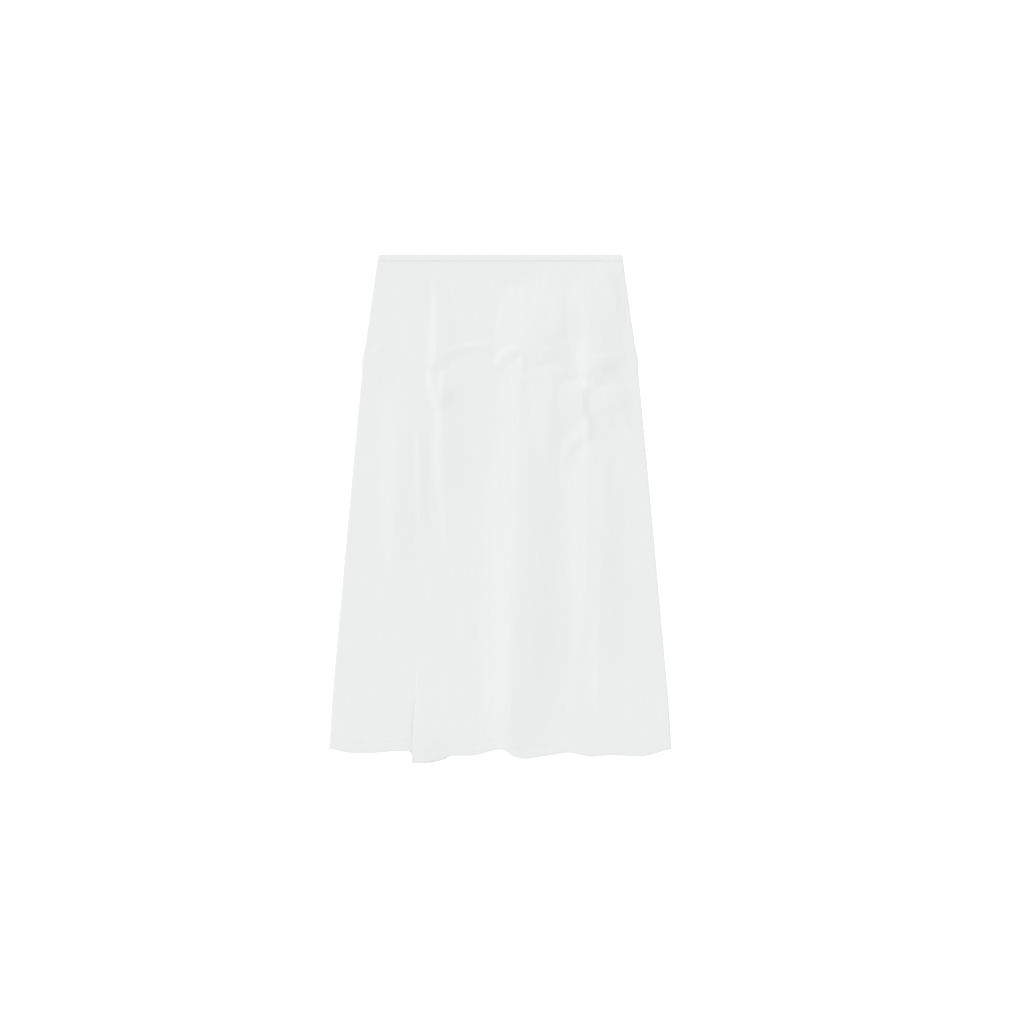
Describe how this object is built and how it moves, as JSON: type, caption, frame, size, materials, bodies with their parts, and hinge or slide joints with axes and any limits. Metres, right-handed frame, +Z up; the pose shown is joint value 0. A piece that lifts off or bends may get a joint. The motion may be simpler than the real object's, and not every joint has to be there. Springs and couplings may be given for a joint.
{
  "type": "maxi skirt",
  "caption": "Flared maxi skirt of smooth white cloth with a narrow waistband, laid flat with its front up, its soft folds running down to a waved hem.",
  "frame": {"origin": "on the table under the middle of the skirt laid flat", "axes": "+X to the viewer's right across the skirt, +Y along the skirt from hem to waist, +Z up out of the table through the front"},
  "size_m": [0.6174, 0.916, 0.014],
  "materials": {
    "cloth": "smooth white crepe satin with a low sheen",
    "waistband_cloth": "two plies of the same white cloth, stitched along the lower edge"
  },
  "bodies": {
    "root": {"front_panel": "cloth", "back_panel": "cloth", "waistband_front": "waistband_cloth", "waistband_back": "waistband_cloth"}
  },
  "joints": []
}
